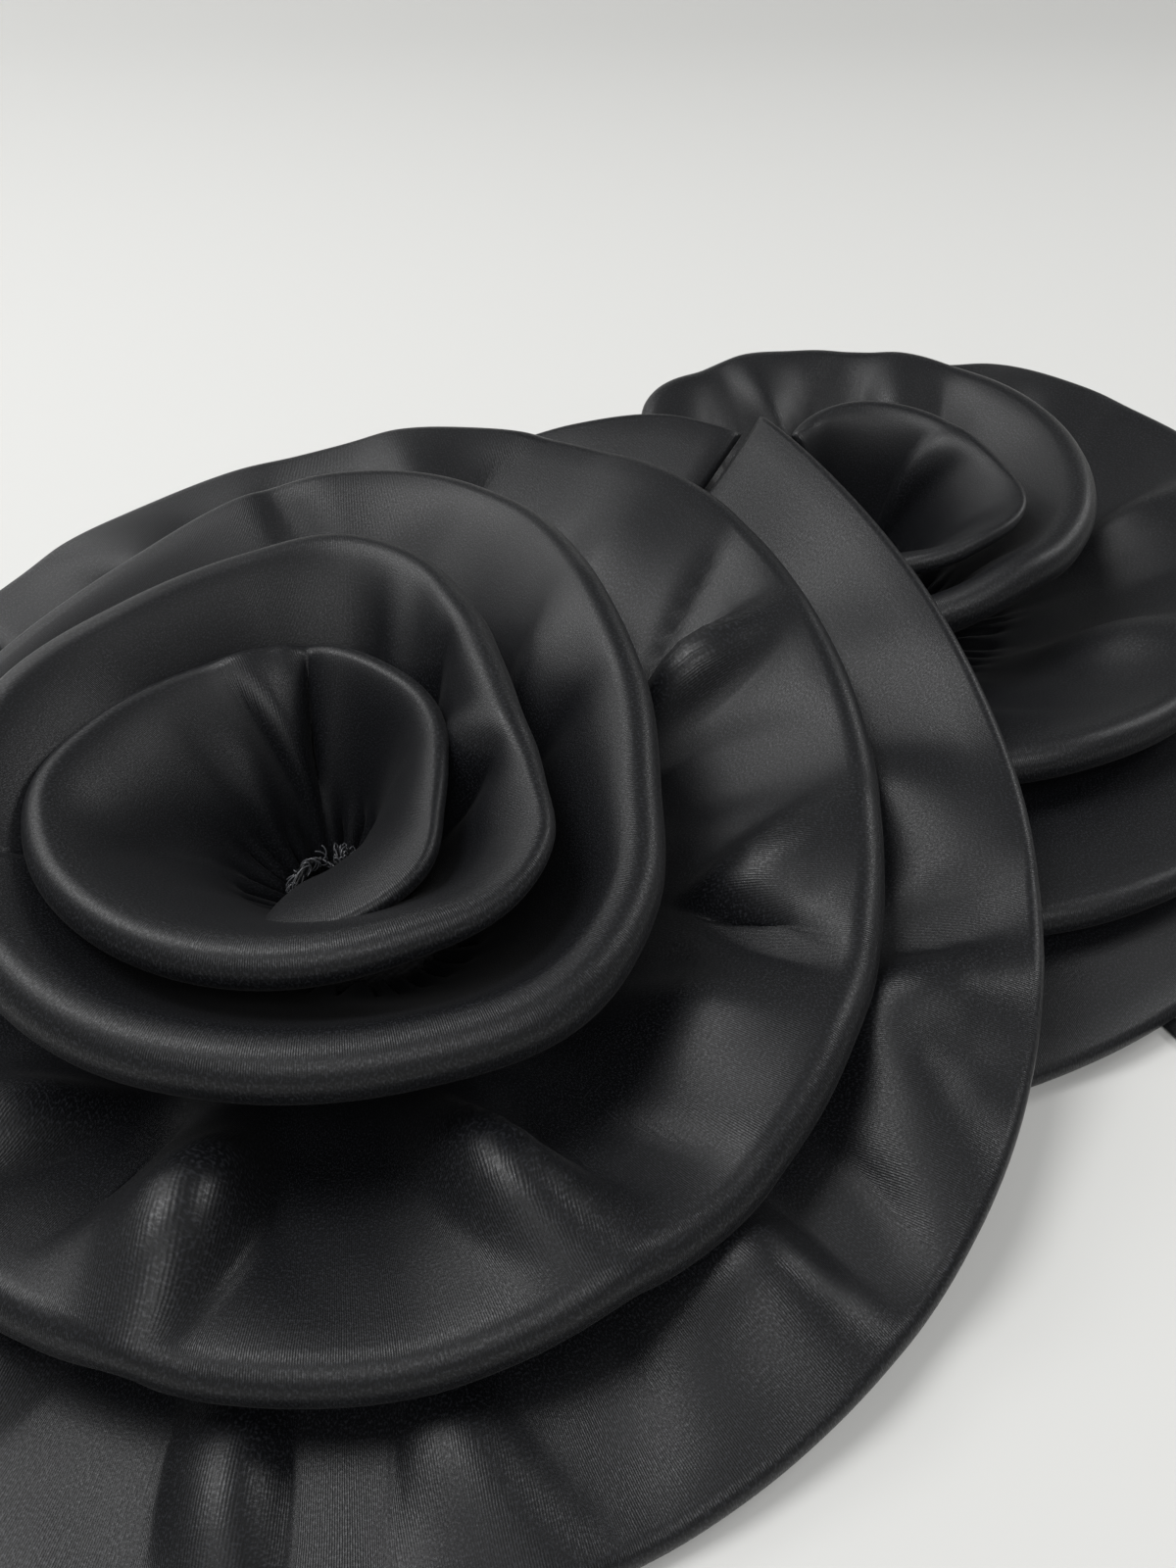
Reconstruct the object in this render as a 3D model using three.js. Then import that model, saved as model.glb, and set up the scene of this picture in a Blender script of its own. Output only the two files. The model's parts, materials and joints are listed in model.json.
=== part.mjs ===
// A satin costume boa: two rosettes of gathered, doubled satin ruffle sewn to backings on a neck band,
// with a tie at each end. Millimetres, +Z up. It lies on a flat surface at z = 0, and the origin is on that
// surface under the heart of the front rosette. Plan angles are in degrees, counter-clockwise from +X.
import * as THREE from 'three';

// Rosettes
const ROSETTE_RADIUS = 130;
const CUP_HEIGHT = 62;
const SEAM_START = 5;
const SEAM_PITCH = 11;
const GATHERED_THICKNESS = 3.4;
const RIM_THICKNESS = 4.6;
const REAR_OFFSET = [0.86, 0.79];

// How a ruffle leaves its seam and turns over to its rim
const LEAST_RISE = 5;
const RISE_SHARE = 0.5;
const OVERHANG_SHARE = 0.4;
const LAPPED_SEAM_RATE = 0.5;

// Backings, band and ties
const BACKING_THICKNESS = 2;
const COVER_THICKNESS = 1;
const BACKING_MARGIN = 8;
const BAND_WIDTH = 50;
const BAND_THICKNESS = 3;
const BAND_SATIN = 0.6;
const BAND_PAST_HEART = 36;
const INTERLINING_INSET = 4;
const TIE_WIDTH = 44;
const TIE_THICKNESS = 1.6;
const TIE_LENGTH = 190;
const FRONT_TIE_ANGLE = 190;
const REAR_TIE_ANGLE = -61;
const FOLD_SHARE = 1.04;
const FOLD_ROOM = 1;

// Threads
const GATHERING_THREAD = 1;
const OVERLOCK_CORD = 1.6;
const OVERLOCK_TURN = 560;

// Fits and fineness
const CLEAR = 0.4;
const TABLE_GAP = 0.6;
const ALONG_STEP = 12;
const ACROSS_STEPS = 5;
const THREAD_STEP = 20;
const DISC_SIDES = 48;

// Levels, from the table up
const COVER_LEVEL = BAND_THICKNESS + CLEAR;
const BACKING_LEVEL = COVER_LEVEL + COVER_THICKNESS + CLEAR;
const THREAD_LEVEL = BACKING_LEVEL + BACKING_THICKNESS + CLEAR + GATHERING_THREAD / 2;
const SEAM_LEVEL = THREAD_LEVEL + GATHERING_THREAD / 2 + CLEAR;
const LYING = TABLE_GAP + RIM_THICKNESS / 2;
const LYING_ON_TIE = TIE_THICKNESS + CLEAR + RIM_THICKNESS / 2;

const materials = {
  satin: new THREE.MeshStandardMaterial({ color: 0x111214, roughness: 0.42, metalness: 0 }),
  lining: new THREE.MeshStandardMaterial({ color: 0x17181a, roughness: 0.8, metalness: 0 }),
  buckram: new THREE.MeshStandardMaterial({ color: 0x2a2a2c, roughness: 0.9, metalness: 0 }),
  thread: new THREE.MeshStandardMaterial({ color: 0x1b1c1f, roughness: 0.3, metalness: 0 }),
};

const boa = new THREE.Group();
const frontCentre = new THREE.Vector3(0, 0, 0);
const rearCentre = new THREE.Vector3(REAR_OFFSET[0], REAR_OFFSET[1], 0).multiplyScalar(ROSETTE_RADIUS);

function addPiece(name, geometry, material, parent = boa) {
  const mesh = new THREE.Mesh(geometry, material);
  mesh.name = name;
  parent.add(mesh);
  return mesh;
}

// A point at a plan angle and radius, at a height.
function polar(angle, radius, height) {
  const turn = THREE.MathUtils.degToRad(angle);
  return new THREE.Vector3(radius * Math.cos(turn), radius * Math.sin(turn), height);
}

// The height of a rim, from 0 lying on the table to 1 at the top of the cup.
function standing(share) {
  return LYING + share * (CUP_HEIGHT - LYING);
}

// The radius of the gathered seam after a number of degrees along its spiral.
function seamRadius(spiral) {
  return SEAM_START + (SEAM_PITCH * spiral) / 360;
}

function curveThrough(points) {
  return new THREE.CatmullRomCurve3(points, false, 'centripetal');
}

// One cut length of ruffle. Each station is [plan angle, rim radius as a share of the rosette's,
// rim height, shoulder lift]. The sheet leaves the seam upright, then bends out to the rim; the shoulder
// lift raises or lowers its middle. seamSpiral gives the degrees along the gathered seam at a plan angle.
function ruffleSheet(stations, seamSpiral) {
  const seam = [];
  const rise = [];
  const shoulder = [];
  const rim = [];
  for (const [angle, share, height, lift] of stations) {
    const inner = seamRadius(seamSpiral(angle));
    const outer = share * ROSETTE_RADIUS;
    const climb = height - SEAM_LEVEL;
    seam.push(polar(angle, inner, SEAM_LEVEL));
    rise.push(polar(angle, inner, SEAM_LEVEL + Math.max(LEAST_RISE, climb * RISE_SHARE + lift)));
    shoulder.push(polar(angle, outer - (outer - inner) * OVERHANG_SHARE, height + lift));
    rim.push(polar(angle, outer, height));
  }
  const curves = [seam, rise, shoulder, rim].map(curveThrough);
  return (along, across) => {
    const [p0, p1, p2, p3] = curves.map((curve) => curve.getPoint(along));
    return new THREE.CubicBezierCurve3(p0, p1, p2, p3).getPoint(across);
  };
}

// The outward normal of a sheet, from two short steps along and across it.
function sheetNormal(sheet, along, across) {
  const step = 0.002;
  const back = Math.min(along, 1 - step);
  const low = Math.min(across, 1 - step);
  const corner = sheet(back, low);
  const onward = sheet(back + step, low).sub(corner);
  const upward = sheet(back, low + step).sub(corner);
  return onward.cross(upward).normalize();
}

// A closed strip bent to follow a sheet, thicker at the rolled rim than at the gathered seam.
function bentStrip(sheet, alongSteps) {
  const geometry = new THREE.BoxGeometry(1, 1, 1, alongSteps, ACROSS_STEPS, 1);
  const corners = geometry.attributes.position;
  for (let i = 0; i < corners.count; i += 1) {
    const along = corners.getX(i) + 0.5;
    const across = corners.getY(i) + 0.5;
    const thickness = THREE.MathUtils.lerp(GATHERED_THICKNESS, RIM_THICKNESS, across);
    const place = sheet(along, across);
    place.addScaledVector(sheetNormal(sheet, along, across), corners.getZ(i) * thickness);
    corners.setXYZ(i, place.x, place.y, place.z);
  }
  geometry.computeVertexNormals();
  return geometry;
}

function addRuffle(name, centre, stations, seamSpiral) {
  const sweep = Math.abs(stations[stations.length - 1][0] - stations[0][0]);
  const geometry = bentStrip(ruffleSheet(stations, seamSpiral), Math.round(sweep / ALONG_STEP));
  addPiece(name, geometry, materials.satin).position.copy(centre);
}

// A thread laid along the seam's spiral, from one number of degrees to another, at a height.
function threadAlong(from, to, plan, inset, height, diameter) {
  const points = [];
  const steps = Math.ceil((to - from) / THREAD_STEP);
  for (let i = 0; i <= steps; i += 1) {
    const spiral = from + ((to - from) * i) / steps;
    points.push(polar(plan(spiral), seamRadius(spiral) - inset, height));
  }
  const section = new THREE.Shape().absarc(0, 0, diameter / 2, 0, Math.PI * 2);
  return new THREE.ExtrudeGeometry(section, {
    steps, curveSegments: 3, bevelEnabled: false, extrudePath: curveThrough(points),
  });
}

function addThreads(prefix, centre, firstSpiral, lastSpiral, plan) {
  const gathering = threadAlong(firstSpiral, lastSpiral, plan, 0, THREAD_LEVEL, GATHERING_THREAD);
  addPiece(`${prefix}_gathering_thread`, gathering, materials.thread).position.copy(centre);
  const inset = GATHERED_THICKNESS / 2 + 2 * CLEAR + OVERLOCK_CORD / 2;
  const height = SEAM_LEVEL + OVERLOCK_CORD;
  const overlock = threadAlong(firstSpiral, OVERLOCK_TURN, plan, inset, height, OVERLOCK_CORD);
  addPiece(`${prefix}_overlocked_edge`, overlock, materials.thread).position.copy(centre);
}

function addDisc(name, centre, radius, level, thickness, material) {
  const geometry = new THREE.CylinderGeometry(radius, radius, thickness, DISC_SIDES);
  geometry.rotateX(Math.PI / 2);
  addPiece(name, geometry, material).position.set(centre.x, centre.y, level + thickness / 2);
}

function addBacking(prefix, centre, lastSpiral) {
  const radius = seamRadius(lastSpiral) + BACKING_MARGIN;
  addDisc(`${prefix}_backing_cover`, centre, radius, COVER_LEVEL, COVER_THICKNESS, materials.lining);
  addDisc(`${prefix}_stiff_backing`, centre, radius, BACKING_LEVEL, BACKING_THICKNESS, materials.buckram);
}

// ---- Front rosette: the seam spirals outwards counter-clockwise ----
const FRONT_SPIRAL_START = -50;
const FRONT_SPIRAL_END = 1228;
const FRONT_OUTER_START = 54;
const FRONT_OUTER_END = 412;
const FRONT_OUTER_SEAM = 1345;

const frontHeart = [
  [-50, 0.27, standing(0.8), -3], [-20, 0.18, standing(0.82), -3], [15, 0.14, standing(0.82), -3],
  [60, 0.15, standing(0.83), -3], [105, 0.2, standing(0.83), -3], [150, 0.24, standing(0.84), -3],
  [185, 0.33, standing(0.84), -2], [215, 0.38, standing(0.82), 0], [250, 0.385, standing(0.8), 1],
  [290, 0.385, standing(0.8), 0], [326, 0.39, standing(0.84), -3], [350, 0.3, standing(0.9), -4],
  [382, 0.27, standing(0.95), -4], [415, 0.3, standing(0.98), -3], [450, 0.4, standing(1), -1],
  [495, 0.38, standing(0.98), -1], [535, 0.43, standing(0.92), -2], [570, 0.48, standing(0.82), -4],
];
const frontMiddle = [
  [573, 0.485, standing(0.81), -4], [600, 0.5, standing(0.73), -4], [640, 0.51, standing(0.68), -4],
  [672, 0.53, standing(0.7), -3], [700, 0.48, standing(0.77), -2], [729, 0.45, standing(0.86), -2],
  [760, 0.49, standing(0.94), -2], [794, 0.6, standing(0.98), -2], [822, 0.61, standing(0.98), -1],
  [850, 0.56, standing(0.86), 1], [890, 0.58, standing(0.7), 3], [930, 0.65, standing(0.5), 6],
  [965, 0.73, standing(0.32), 8], [1000, 0.78, standing(0.28), 9], [1040, 0.79, standing(0.36), 7],
  [1080, 0.79, standing(0.58), 2], [1105, 0.82, standing(0.77), -3], [1130, 0.89, standing(0.88), -4],
  [1155, 0.92, standing(0.9), -4], [1185, 0.85, standing(0.82), -2], [1213, 0.8, standing(0.7), 1],
  [1228, 0.8, standing(0.62), 2],
];
const frontOuter = [
  [54, 1.13, standing(0.88), -18], [62, 1.1, standing(0.88), -18], [70, 1.02, standing(0.86), -18],
  [79, 0.95, standing(0.76), -14], [94, 0.91, standing(0.56), -6],
  [115, 0.91, standing(0.42), 0], [140, 0.92, standing(0.28), 5], [170, 0.93, standing(0.14), 8],
  [200, 0.93, standing(0.08), 9], [235, 0.95, LYING, 10], [270, 0.97, LYING, 10],
  [305, 0.98, standing(0.03), 9], [335, 1, standing(0.22), 4], [360, 1, standing(0.48), -7],
  [382, 1.01, standing(0.74), -18], [400, 1.05, standing(0.92), -24], [412, 1.12, standing(1), -24],
];

function frontOuterSpiral(angle) {
  return FRONT_OUTER_SEAM + (angle - FRONT_OUTER_START) * LAPPED_SEAM_RATE;
}

addBacking('front', frontCentre, frontOuterSpiral(FRONT_OUTER_END));
addThreads('front', frontCentre, FRONT_SPIRAL_START, FRONT_SPIRAL_END, (spiral) => spiral);
addRuffle('front_heart_ruffle', frontCentre, frontHeart, (angle) => angle);
addRuffle('front_middle_ruffle', frontCentre, frontMiddle, (angle) => angle);
addRuffle('front_outer_ruffle', frontCentre, frontOuter, frontOuterSpiral);

// ---- Rear rosette: its mirror image, so the seam spirals outwards clockwise ----
const REAR_SPIRAL_START_ANGLE = 150;
const REAR_LAST_ANGLE = -90;
const REAR_HEART_END = 620;
const REAR_UPPER_SEAM = 760;
const REAR_LOWER_SEAM = 1080;
const REAR_OUTER_SEAM = 1380;

const rearHeart = [
  [150, 0.12, standing(0.9), -2], [90, 0.14, standing(0.97), -2], [30, 0.17, standing(0.96), -2],
  [0, 0.22, standing(0.93), -2], [-33, 0.31, standing(0.86), -2], [-65, 0.29, standing(0.78), -2],
  [-105, 0.23, standing(0.65), -2], [-150, 0.2, standing(0.62), -2], [-180, 0.25, standing(0.53), -2],
  [-197, 0.36, standing(0.61), -1], [-212, 0.455, standing(0.85), -1],
  [-250, 0.44, standing(0.94), -1], [-280, 0.44, standing(0.95), -1],
  [-330, 0.42, standing(0.94), -1], [-360, 0.42, standing(0.88), -1], [-405, 0.4, standing(0.76), -2],
  [-435, 0.35, standing(0.64), -3], [-470, 0.3, standing(0.5), -3],
];
const rearUpper = [
  [165, 0.5, standing(0.36), 2], [140, 0.56, standing(0.5), 0], [95, 0.63, standing(0.68), -2],
  [66, 0.66, standing(0.73), -2], [45, 0.74, standing(0.73), -2], [22, 0.8, standing(0.68), 0],
  [0, 0.78, standing(0.6), 2], [-25, 0.72, standing(0.52), 3], [-50, 0.7, standing(0.48), 4],
  [-70, 0.67, standing(0.44), 4], [-88, 0.63, standing(0.39), 3],
];
const rearLower = [
  [152, 0.74, standing(0.2), 9], [125, 0.77, standing(0.24), 9], [90, 0.82, standing(0.27), 9],
  [50, 0.86, standing(0.29), 9], [10, 0.89, standing(0.29), 9], [-30, 0.9, standing(0.27), 9],
  [-60, 0.9, standing(0.25), 8], [-75, 0.9, standing(0.22), 7], [-92, 0.88, standing(0.18), 7],
];
const rearOuter = [
  [152, 0.93, LYING, 3], [125, 0.96, LYING, 3], [90, 0.98, LYING, 3], [45, 1, LYING, 3],
  [0, 1.01, LYING, 3], [-40, 1.01, LYING_ON_TIE, 2], [-65, 1.02, LYING_ON_TIE, 2],
  [-78, 1.07, LYING_ON_TIE, 2], [-88, 1.12, LYING, 2],
];

function rearSpiral(firstSeam) {
  return (angle) => firstSeam + (REAR_SPIRAL_START_ANGLE - angle) * LAPPED_SEAM_RATE;
}

addBacking('rear', rearCentre, rearSpiral(REAR_OUTER_SEAM)(REAR_LAST_ANGLE));
addThreads('rear', rearCentre, 0, REAR_HEART_END, (spiral) => REAR_SPIRAL_START_ANGLE - spiral);
addRuffle('rear_heart_ruffle', rearCentre, rearHeart, (angle) => REAR_SPIRAL_START_ANGLE - angle);
addRuffle('rear_upper_ruffle', rearCentre, rearUpper, rearSpiral(REAR_UPPER_SEAM));
addRuffle('rear_lower_ruffle', rearCentre, rearLower, rearSpiral(REAR_LOWER_SEAM));
addRuffle('rear_outer_ruffle', rearCentre, rearOuter, rearSpiral(REAR_OUTER_SEAM));

// ---- Neck band: a flat satin sleeve from heart to heart, with a strip of interlining inside ----
const bandAngle = Math.atan2(rearCentre.y, rearCentre.x);
const bandLength = rearCentre.length() + 2 * BAND_PAST_HEART;
const bandGroup = new THREE.Group();
bandGroup.rotation.z = bandAngle;
boa.add(bandGroup);

function rectangle(width, height) {
  const [x, y] = [width / 2, height / 2];
  return [[-x, -y], [x, -y], [x, y], [-x, y]].map(([u, v]) => new THREE.Vector2(u, v));
}

function neckBand() {
  const hollow = BAND_SATIN * 2;
  const section = new THREE.Shape(rectangle(BAND_WIDTH, BAND_THICKNESS));
  section.holes.push(new THREE.Path(rectangle(BAND_WIDTH - hollow, BAND_THICKNESS - hollow)));
  const sleeve = new THREE.ExtrudeGeometry(section, { depth: bandLength, bevelEnabled: false });
  const lengthwise = new THREE.Matrix4().makeBasis(
    new THREE.Vector3(0, 1, 0), new THREE.Vector3(0, 0, 1), new THREE.Vector3(1, 0, 0),
  );
  return sleeve.applyMatrix4(lengthwise);
}

addPiece('neck_band', neckBand(), materials.satin, bandGroup)
  .position.set(-BAND_PAST_HEART, 0, BAND_THICKNESS / 2);
const interlining = new THREE.BoxGeometry(
  bandLength - 2 * INTERLINING_INSET,
  BAND_WIDTH - 2 * (BAND_SATIN + CLEAR),
  BAND_THICKNESS - 2 * (BAND_SATIN + CLEAR),
);
addPiece('neck_band_interlining', interlining, materials.lining, bandGroup)
  .position.set(rearCentre.length() / 2, 0, BAND_THICKNESS / 2);

// ---- Ties: each is held under its rosette by a stay and folds up where it comes out past the ruffles ----
const tieFold = ROSETTE_RADIUS * FOLD_SHARE + RIM_THICKNESS / 2 + FOLD_ROOM;
const foldGap = TIE_THICKNESS + 2 * CLEAR;
const stayStart = Math.hypot(BAND_PAST_HEART, BAND_WIDTH / 2) + CLEAR;

function addTie(prefix, centre, angle) {
  const line = new THREE.Group();
  line.position.copy(centre);
  line.rotation.z = THREE.MathUtils.degToRad(angle);
  boa.add(line);
  const stay = new THREE.BoxGeometry(tieFold - stayStart, TIE_WIDTH, TIE_THICKNESS);
  addPiece(`${prefix}_tie_stay`, stay, materials.satin, line)
    .position.set((tieFold + stayStart) / 2, 0, TIE_THICKNESS / 2);
  const outline = new THREE.Shape([
    new THREE.Vector2(0, -TIE_WIDTH / 2),
    new THREE.Vector2(TIE_LENGTH, -TIE_WIDTH / 2),
    new THREE.Vector2(TIE_LENGTH - TIE_WIDTH / 2, TIE_WIDTH / 2),
    new THREE.Vector2(0, TIE_WIDTH / 2),
  ]);
  const tie = new THREE.ExtrudeGeometry(outline, { depth: TIE_THICKNESS, bevelEnabled: false });
  addPiece(`${prefix}_tie`, tie, materials.satin, line).position.set(tieFold + foldGap, 0, 0);
}

addTie('front', frontCentre, FRONT_TIE_ANGLE);
addTie('rear', rearCentre, REAR_TIE_ANGLE);

export default boa;
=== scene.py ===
"""A satin costume boa: two rosettes of gathered, doubled ruffle on a flat neck band with a tie at each end.

Metres, +Z up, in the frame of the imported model. Plan angles are in degrees, counter-clockwise from +X.
"""
import json
import math
import random

import bmesh
import bpy
import numpy as np
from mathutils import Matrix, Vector


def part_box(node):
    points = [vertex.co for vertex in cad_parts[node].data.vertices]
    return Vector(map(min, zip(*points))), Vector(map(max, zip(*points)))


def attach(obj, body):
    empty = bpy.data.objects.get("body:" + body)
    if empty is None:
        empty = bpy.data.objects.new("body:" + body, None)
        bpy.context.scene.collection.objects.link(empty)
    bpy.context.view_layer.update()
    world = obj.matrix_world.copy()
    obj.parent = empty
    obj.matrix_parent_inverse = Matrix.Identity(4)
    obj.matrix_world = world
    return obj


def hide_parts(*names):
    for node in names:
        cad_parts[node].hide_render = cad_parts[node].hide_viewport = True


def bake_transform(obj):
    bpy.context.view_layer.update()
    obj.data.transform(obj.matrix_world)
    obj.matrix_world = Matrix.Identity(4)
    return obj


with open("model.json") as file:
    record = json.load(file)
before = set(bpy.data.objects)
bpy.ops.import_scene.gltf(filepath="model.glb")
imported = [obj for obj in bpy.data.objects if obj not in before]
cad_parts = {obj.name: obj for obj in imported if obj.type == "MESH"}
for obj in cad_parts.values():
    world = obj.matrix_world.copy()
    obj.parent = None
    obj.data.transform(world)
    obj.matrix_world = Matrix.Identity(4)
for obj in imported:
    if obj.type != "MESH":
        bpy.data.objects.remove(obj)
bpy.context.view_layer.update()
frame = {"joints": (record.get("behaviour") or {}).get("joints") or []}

bl_info = {
    "name": "Satin Rosette Boa",
    "version": (1, 0, 0),
    "blender": (4, 5, 0),
    "location": "View3D > Sidebar > Boa",
    "description": "Builds a boa of coiled satin ruffles, with its band, ties and threads",
    "category": "Object",
}

MM = 0.001


def node_centre(name):
    low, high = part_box(name)
    return [(a + b) / 2 for a, b in zip(low, high)]


FRONT = np.array([0.0, 0.0, 0.0])
REAR = np.array([*node_centre("rear_stiff_backing")[:2], 0.0])
# How a fold leans with its distance from the seam, how its two sides slope, and how covered cloth is pressed.
FOLD_LEAN = 0.9
STEEP_SIDE = 1.5
EASY_SIDE = 0.9
COVER_EDGE = 0.12
PRESS_SHARE = 0.9
TABLE_GAP = 0.6
SEAM_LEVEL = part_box("front_middle_ruffle")[0][2]


# ---------------------------------------------------------------- settings

class BoaSatinSettings(bpy.types.PropertyGroup):
    cloth: bpy.props.FloatProperty(
        name="Cloth", description="Thickness of one layer of satin",
        default=0.0006, min=0.0001, unit="LENGTH")
    rib: bpy.props.FloatProperty(
        name="Rib", description="Spacing of the satin's cross ribs",
        default=0.00037, min=0.0001, precision=5, unit="LENGTH")
    colour: bpy.props.FloatVectorProperty(
        name="Satin", description="Colour of the satin", subtype="COLOR", size=3,
        default=(0.0022, 0.0025, 0.0034), min=0, max=1)
    # Satin floats: a lighter colour painted in fine specks where the weave's sparkle mask is high. It is a
    # painted glint of the floats, not a colour of the black satin.
    float_glint_colour: bpy.props.FloatVectorProperty(
        name="Satin floats", description="Colour of the glossy floats of the weave", subtype="COLOR", size=3,
        default=(0.02, 0.021, 0.0245), min=0, max=1)
    lining_colour: bpy.props.FloatVectorProperty(
        name="Lining", description="Colour of the backing covers", subtype="COLOR", size=3,
        default=(0.012, 0.012, 0.013), min=0, max=1)
    thread_colour: bpy.props.FloatVectorProperty(
        name="Thread", description="Colour of the sewing thread", subtype="COLOR", size=3,
        default=(0.06, 0.062, 0.068), min=0, max=1)


class BoaRuffleSettings(bpy.types.PropertyGroup):
    seam_pitch: bpy.props.FloatProperty(
        name="Seam pitch", description="Spacing of the turns of the gathered seam",
        default=0.011, min=0.004, unit="LENGTH")
    seam_start: bpy.props.FloatProperty(
        name="Seam start", description="Radius of the gathered seam at the heart",
        default=0.005, min=0.001, unit="LENGTH")
    gather_depth: bpy.props.FloatProperty(
        name="Gather depth", description="Depth of the small pleats beside the gathered seam",
        default=0.0034, min=0, unit="LENGTH")
    seed: bpy.props.IntProperty(
        name="Seed", description="Order of the random folds", default=7, min=0)


class BoaTrimSettings(bpy.types.PropertyGroup):
    allowance: bpy.props.FloatProperty(
        name="Seam allowance", description="Height of the raw edge that stands inside the heart",
        default=0.012, min=0.01, unit="LENGTH")
    overlock_pitch: bpy.props.FloatProperty(
        name="Overlock pitch", description="Spacing of the overlock stitches on the raw edge",
        default=0.0021, min=0.0008, unit="LENGTH")
    thread: bpy.props.FloatProperty(
        name="Thread", description="Diameter of the sewing thread", default=0.0003, min=0.0001, precision=5,
        unit="LENGTH")
    tie_width: bpy.props.FloatProperty(
        name="Tie width", description="Width of the ribbon ties", default=0.044, min=0.01, unit="LENGTH")
    stitch: bpy.props.FloatProperty(
        name="Stitch", description="Length of a topstitch", default=0.0028, min=0.001, unit="LENGTH")


class BoaStageSettings(bpy.types.PropertyGroup):
    lens: bpy.props.FloatProperty(
        name="Lens", description="Focal length of the camera", default=29.25, min=10)
    pitch: bpy.props.FloatProperty(
        name="Pitch", description="How far the camera looks down", default=math.radians(40),
        subtype="ANGLE", unit="ROTATION")
    position: bpy.props.FloatVectorProperty(
        name="Position", description="Where the camera stands", subtype="XYZ", unit="LENGTH",
        default=(0.0478, -0.1774, 0.190), size=3)
    floor_colour: bpy.props.FloatVectorProperty(
        name="Floor", description="Colour of the floor and backdrop", subtype="COLOR", size=3,
        default=(0.7, 0.7, 0.685), min=0, max=1)
    window_power: bpy.props.FloatProperty(
        name="Window power", description="Power of the large light behind", default=7.5, min=0, unit="POWER")
    top_power: bpy.props.FloatProperty(
        name="Top power", description="Power of the soft light overhead", default=9.0, min=0, unit="POWER")
    room_power: bpy.props.FloatProperty(
        name="Room power", description="Power of the wide light from the room in front", default=10.0, min=0,
        unit="POWER")
    side_power: bpy.props.FloatProperty(
        name="Side power", description="Power of the small light at the right, that draws the rims",
        default=5.0, min=0, unit="POWER")


# ---------------------------------------------------------------- curves and sheets

def through(x, stations, column):
    """A smooth curve through one column of the stations, at the plan angles x."""
    xs = np.array([s[0] for s in stations], float)
    ys = np.array([s[column] for s in stations], float)
    if xs[0] > xs[-1]:
        xs, x = -xs, -np.asarray(x, float)
    slopes = np.gradient(ys, xs)
    i = np.clip(np.searchsorted(xs, x) - 1, 0, len(xs) - 2)
    span = xs[i + 1] - xs[i]
    t = (x - xs[i]) / span
    a, b = ys[i], ys[i + 1]
    ma, mb = slopes[i] * span, slopes[i + 1] * span
    return ((2 * t**3 - 3 * t**2 + 1) * a + (t**3 - 2 * t**2 + t) * ma
            + (3 * t**2 - 2 * t**3) * b + (t**3 - t**2) * mb)


def fade(x, low, high):
    """0 below low, 1 above high, smooth between."""
    t = np.clip((x - low) / (high - low), 0, 1)
    return t * t * (3 - 2 * t)


def bump(x, centre, width):
    return np.exp(-((x - centre) / width) ** 2)


def unit(vectors):
    length = np.linalg.norm(vectors, axis=-1, keepdims=True)
    return vectors / np.maximum(length, 1e-9)


def wavy(x, seed, wavelength, octaves=2):
    """Smooth random folds along x, which starts at 0 or more, about -1 to 1, the same for the same seed."""
    rng = random.Random(seed)
    total = np.zeros_like(x)
    for octave in range(octaves):
        place = x * 1.7**octave / wavelength
        knots = np.array([rng.uniform(-1, 1) for _ in range(400)])
        i = np.clip(place.astype(int), 0, 398)
        f = place - i
        f = f * f * (3 - 2 * f)
        total += (knots[i] * (1 - f) + knots[i + 1] * f) / 1.6**octave
    return total


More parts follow.
